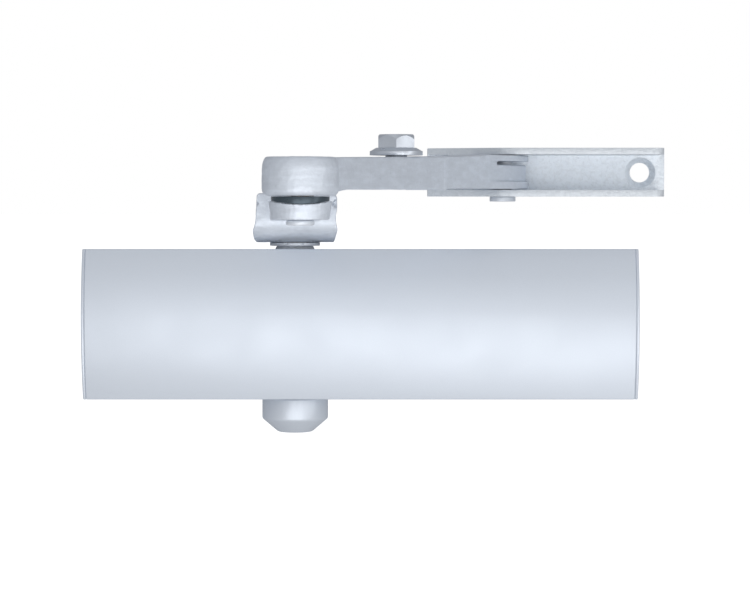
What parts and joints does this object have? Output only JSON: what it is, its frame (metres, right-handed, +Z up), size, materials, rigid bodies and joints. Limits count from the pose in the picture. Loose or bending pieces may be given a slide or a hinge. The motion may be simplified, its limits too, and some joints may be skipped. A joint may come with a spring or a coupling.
{
  "type": "door closer",
  "caption": "Surface-mounted overhead door closer: silver spring body with rack and pinion inside, folding main arm and adjustable forearm, and a channel bracket for the frame.",
  "frame": {"origin": "centre of the four body fixing holes, on the face of the housing that lies against the door", "axes": "+X along the body to the right as seen from the front, +Y into the door, +Z up; the front of the closer faces -Y"},
  "size_m": [0.2352, 0.2097, 0.1177],
  "materials": {
    "cover_silver": "satin",
    "end_cap_silver": "satin",
    "cast_housing": "matte",
    "plug_metal": "satin",
    "arm_silver": "satin",
    "bracket_silver": "satin",
    "bolt_steel": "satin",
    "gear_steel": "satin",
    "washer_steel": "satin",
    "nut_steel": "satin",
    "spring_steel": "satin",
    "bronze": "satin",
    "seal_rubber": "matte",
    "collar_dark": "matte"
  },
  "bodies": {
    "closer_body": {"housing": "cast_housing", "cover": "cover_silver", "left_end_cap": "end_cap_silver", "right_end_cap": "end_cap_silver", "left_plug": "plug_metal", "right_plug": "plug_metal", "plug_orings": "seal_rubber", "upper_bearing": "bronze", "lower_bearing": "bronze", "upper_seal": "seal_rubber", "lower_seal": "seal_rubber", "upper_bearing_nut": "nut_steel", "lower_bearing_nut": "nut_steel", "bottom_cap": "end_cap_silver", "closing_spring": "spring_steel"},
    "spindle": {"pinion": "gear_steel", "spindle_collar": "collar_dark", "spindle_washer": "washer_steel", "main_arm": "arm_silver", "arm_washer": "nut_steel", "arm_screw": "bolt_steel", "elbow_pin": "washer_steel", "elbow_washer": "spring_steel"},
    "piston": {"piston": "gear_steel", "piston_ring": "seal_rubber", "check_seat": "bronze", "check_pin": "gear_steel"},
    "check_ball": {"check_ball": "gear_steel"},
    "spring_plate": {"spring_plate": "gear_steel"},
    "adjuster": {"adjusting_screw": "gear_steel", "adjuster_oring": "seal_rubber"},
    "sweep_valve": {"sweep_valve": "bronze", "sweep_oring": "seal_rubber"},
    "latch_valve": {"latch_valve": "bronze", "latch_oring": "seal_rubber"},
    "backcheck_valve": {"backcheck_valve": "bronze", "backcheck_oring": "seal_rubber"},
    "forearm": {"forearm": "arm_silver", "elbow_bush": "bronze"},
    "link": {"link_fork": "arm_silver"},
    "clamp_bolt": {"clamp_bolt": "bolt_steel"},
    "frame_bracket": {"frame_bracket": "bracket_silver", "bracket_rivet": "washer_steel"}
  },
  "joints": [
    {"name": "spindle_turn", "type": "hinge", "parent": "closer_body", "child": "spindle", "pos_m": [-0.0265, -0.022, 0], "axis": [0, 0, 1], "range_deg": [0, 180], "stiffness_Nm_per_rad": 2, "springref_deg": -85.94},
    {"name": "piston_slide", "type": "slide", "parent": "closer_body", "child": "piston", "axis": [1, 0, 0], "range_m": [0, 0.0283], "deforming": ["closing_spring"]},
    {"name": "check_ball_lift", "type": "slide", "parent": "piston", "child": "check_ball", "axis": [1, 0, 0], "range_m": [0, 0.0008]},
    {"name": "adjuster_turn", "type": "hinge", "parent": "closer_body", "child": "adjuster", "pos_m": [0.085, -0.022, 0], "axis": [1, 0, 0], "range_deg": [0, 3600]},
    {"name": "spring_plate_slide", "type": "slide", "parent": "closer_body", "child": "spring_plate", "axis": [-1, 0, 0], "range_m": [0, 0.0125], "deforming": ["closing_spring"]},
    {"name": "sweep_turn", "type": "hinge", "parent": "closer_body", "child": "sweep_valve", "pos_m": [-0.078, -0.025, 0.022], "axis": [0, -1, 0], "range_deg": [0, 720]},
    {"name": "latch_turn", "type": "hinge", "parent": "closer_body", "child": "latch_valve", "pos_m": [-0.065, -0.025, 0.022], "axis": [0, -1, 0], "range_deg": [0, 720]},
    {"name": "backcheck_turn", "type": "hinge", "parent": "closer_body", "child": "backcheck_valve", "pos_m": [-0.052, -0.025, 0.022], "axis": [0, -1, 0], "range_deg": [0, 720]},
    {"name": "elbow_turn", "type": "hinge", "parent": "spindle", "child": "forearm", "pos_m": [-0.01887, -0.19683, 0.055], "axis": [0, 0, 1], "range_deg": [-150, 5]},
    {"name": "link_slide", "type": "slide", "parent": "forearm", "child": "link", "axis": [0.3875, 0.9219, 0], "range_m": [0, 0.018]},
    {"name": "clamp_bolt_turn", "type": "hinge", "parent": "link", "child": "clamp_bolt", "pos_m": [0.01349, -0.11986, 0.066], "axis": [0, 0, 1], "range_deg": [0, 360]},
    {"name": "bracket_turn", "type": "hinge", "parent": "link", "child": "frame_bracket", "pos_m": [0.05763, -0.01486, 0.06], "axis": [0, 0, 1], "range_deg": [-100, 55]}
  ],
  "couplings": [
    {"joint": "piston_slide", "follows": "spindle_turn", "m_per_rad": 0.009},
    {"joint": "adjuster_turn", "follows": "spring_plate_slide", "rad_per_m": 5026.5}
  ]
}
